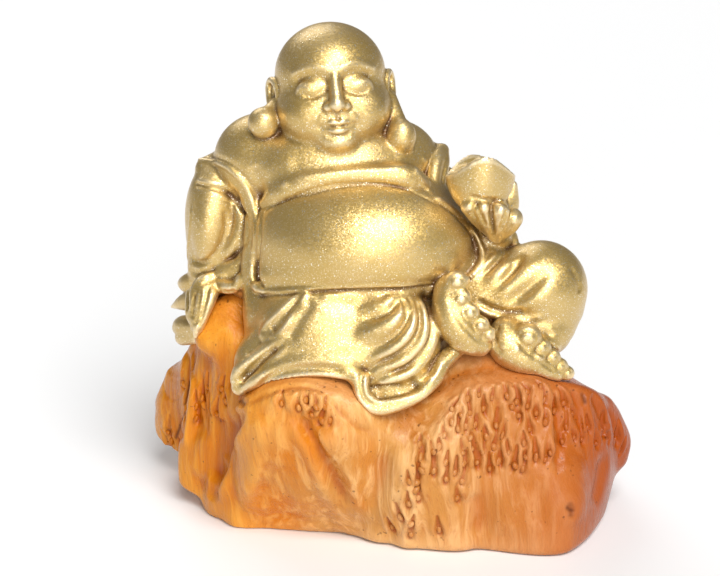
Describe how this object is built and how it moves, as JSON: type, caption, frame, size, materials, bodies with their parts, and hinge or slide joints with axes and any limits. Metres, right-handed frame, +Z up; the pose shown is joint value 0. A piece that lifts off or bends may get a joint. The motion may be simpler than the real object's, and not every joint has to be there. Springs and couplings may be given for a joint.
{
  "type": "budai figure",
  "caption": "Seated bald monk in an open robe, leaning on a root spur and raising an ingot, on a base shaped like a polished tree root.",
  "frame": {"origin": "on the underside of the base, level with the ground, below the middle of the base's lobes", "axes": "+Z up, -Y towards the front of the figure, +X towards its left hand"},
  "size_m": [0.1882, 0.1229, 0.1951],
  "materials": {
    "gold_paint": "satin metallic gold paint with fine glitter on moulded resin, browner in the hollows",
    "root_amber": "moulded resin painted as polished amber root wood with upright grain and burl knots, under clear gloss"
  },
  "bodies": {
    "root": {"budai_figure": "gold_paint", "root_base": "root_amber"}
  },
  "joints": []
}
